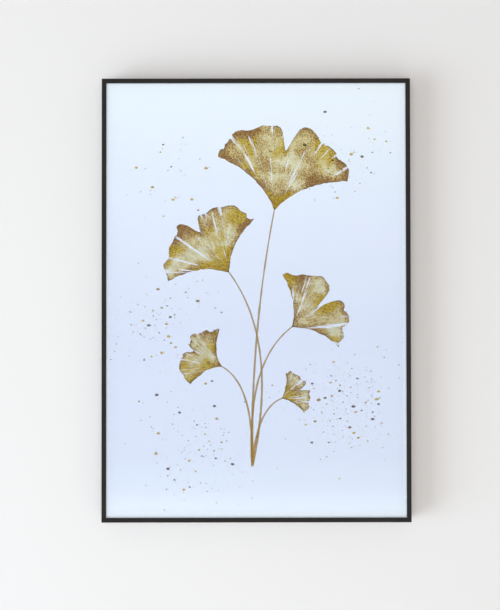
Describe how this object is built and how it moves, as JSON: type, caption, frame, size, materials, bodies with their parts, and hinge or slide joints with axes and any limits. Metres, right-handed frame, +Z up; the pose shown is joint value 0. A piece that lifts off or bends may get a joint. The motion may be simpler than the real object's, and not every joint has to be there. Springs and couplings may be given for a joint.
{
  "type": "framed picture",
  "caption": "Slim black metal section frame with glazing, a gold botanical watercolour print, backing board and a toothed hanger behind the top rail.",
  "frame": {"origin": "the middle notch of the toothed hanger, at half the thickness of its plate, where the frame hangs on its nail", "axes": "+X to the right seen from the front, +Y out of the back towards the wall, +Z up"},
  "size_m": [0.305, 0.0233, 0.438],
  "materials": {
    "black_anodised": "satin",
    "clear_glass": "polished",
    "watercolour_paper": "matte",
    "kraft_board": "matte",
    "spring_steel": "satin",
    "zinc_plate": "satin",
    "brass_plate": "satin",
    "grey_rubber": "matte"
  },
  "bodies": {
    "root": {"rail_top": "black_anodised", "rail_bottom": "black_anodised", "rail_left": "black_anodised", "rail_right": "black_anodised", "glazing": "clear_glass", "print_sheet": "watercolour_paper", "backing_board": "kraft_board", "spring_clip_top_1": "spring_steel", "spring_clip_top_2": "spring_steel", "spring_clip_right_1": "spring_steel", "spring_clip_right_2": "spring_steel", "spring_clip_bottom_1": "spring_steel", "spring_clip_bottom_2": "spring_steel", "spring_clip_left_1": "spring_steel", "spring_clip_left_2": "spring_steel", "corner_plate_top_left": "zinc_plate", "corner_plate_top_right": "zinc_plate", "corner_plate_bottom_right": "zinc_plate", "corner_plate_bottom_left": "zinc_plate", "corner_screw_top_left_1": "zinc_plate", "corner_screw_top_left_2": "zinc_plate", "corner_screw_top_left_3": "zinc_plate", "corner_screw_top_left_4": "zinc_plate", "corner_screw_top_right_1": "zinc_plate", "corner_screw_top_right_2": "zinc_plate", "corner_screw_top_right_3": "zinc_plate", "corner_screw_top_right_4": "zinc_plate", "corner_screw_bottom_right_1": "zinc_plate", "corner_screw_bottom_right_2": "zinc_plate", "corner_screw_bottom_right_3": "zinc_plate", "corner_screw_bottom_right_4": "zinc_plate", "corner_screw_bottom_left_1": "zinc_plate", "corner_screw_bottom_left_2": "zinc_plate", "corner_screw_bottom_left_3": "zinc_plate", "corner_screw_bottom_left_4": "zinc_plate", "sawtooth_hanger": "brass_plate", "hanger_bar": "zinc_plate", "hanger_screw_left": "zinc_plate", "hanger_screw_right": "zinc_plate", "wall_bumper_left": "grey_rubber", "wall_bumper_right": "grey_rubber"}
  },
  "joints": []
}
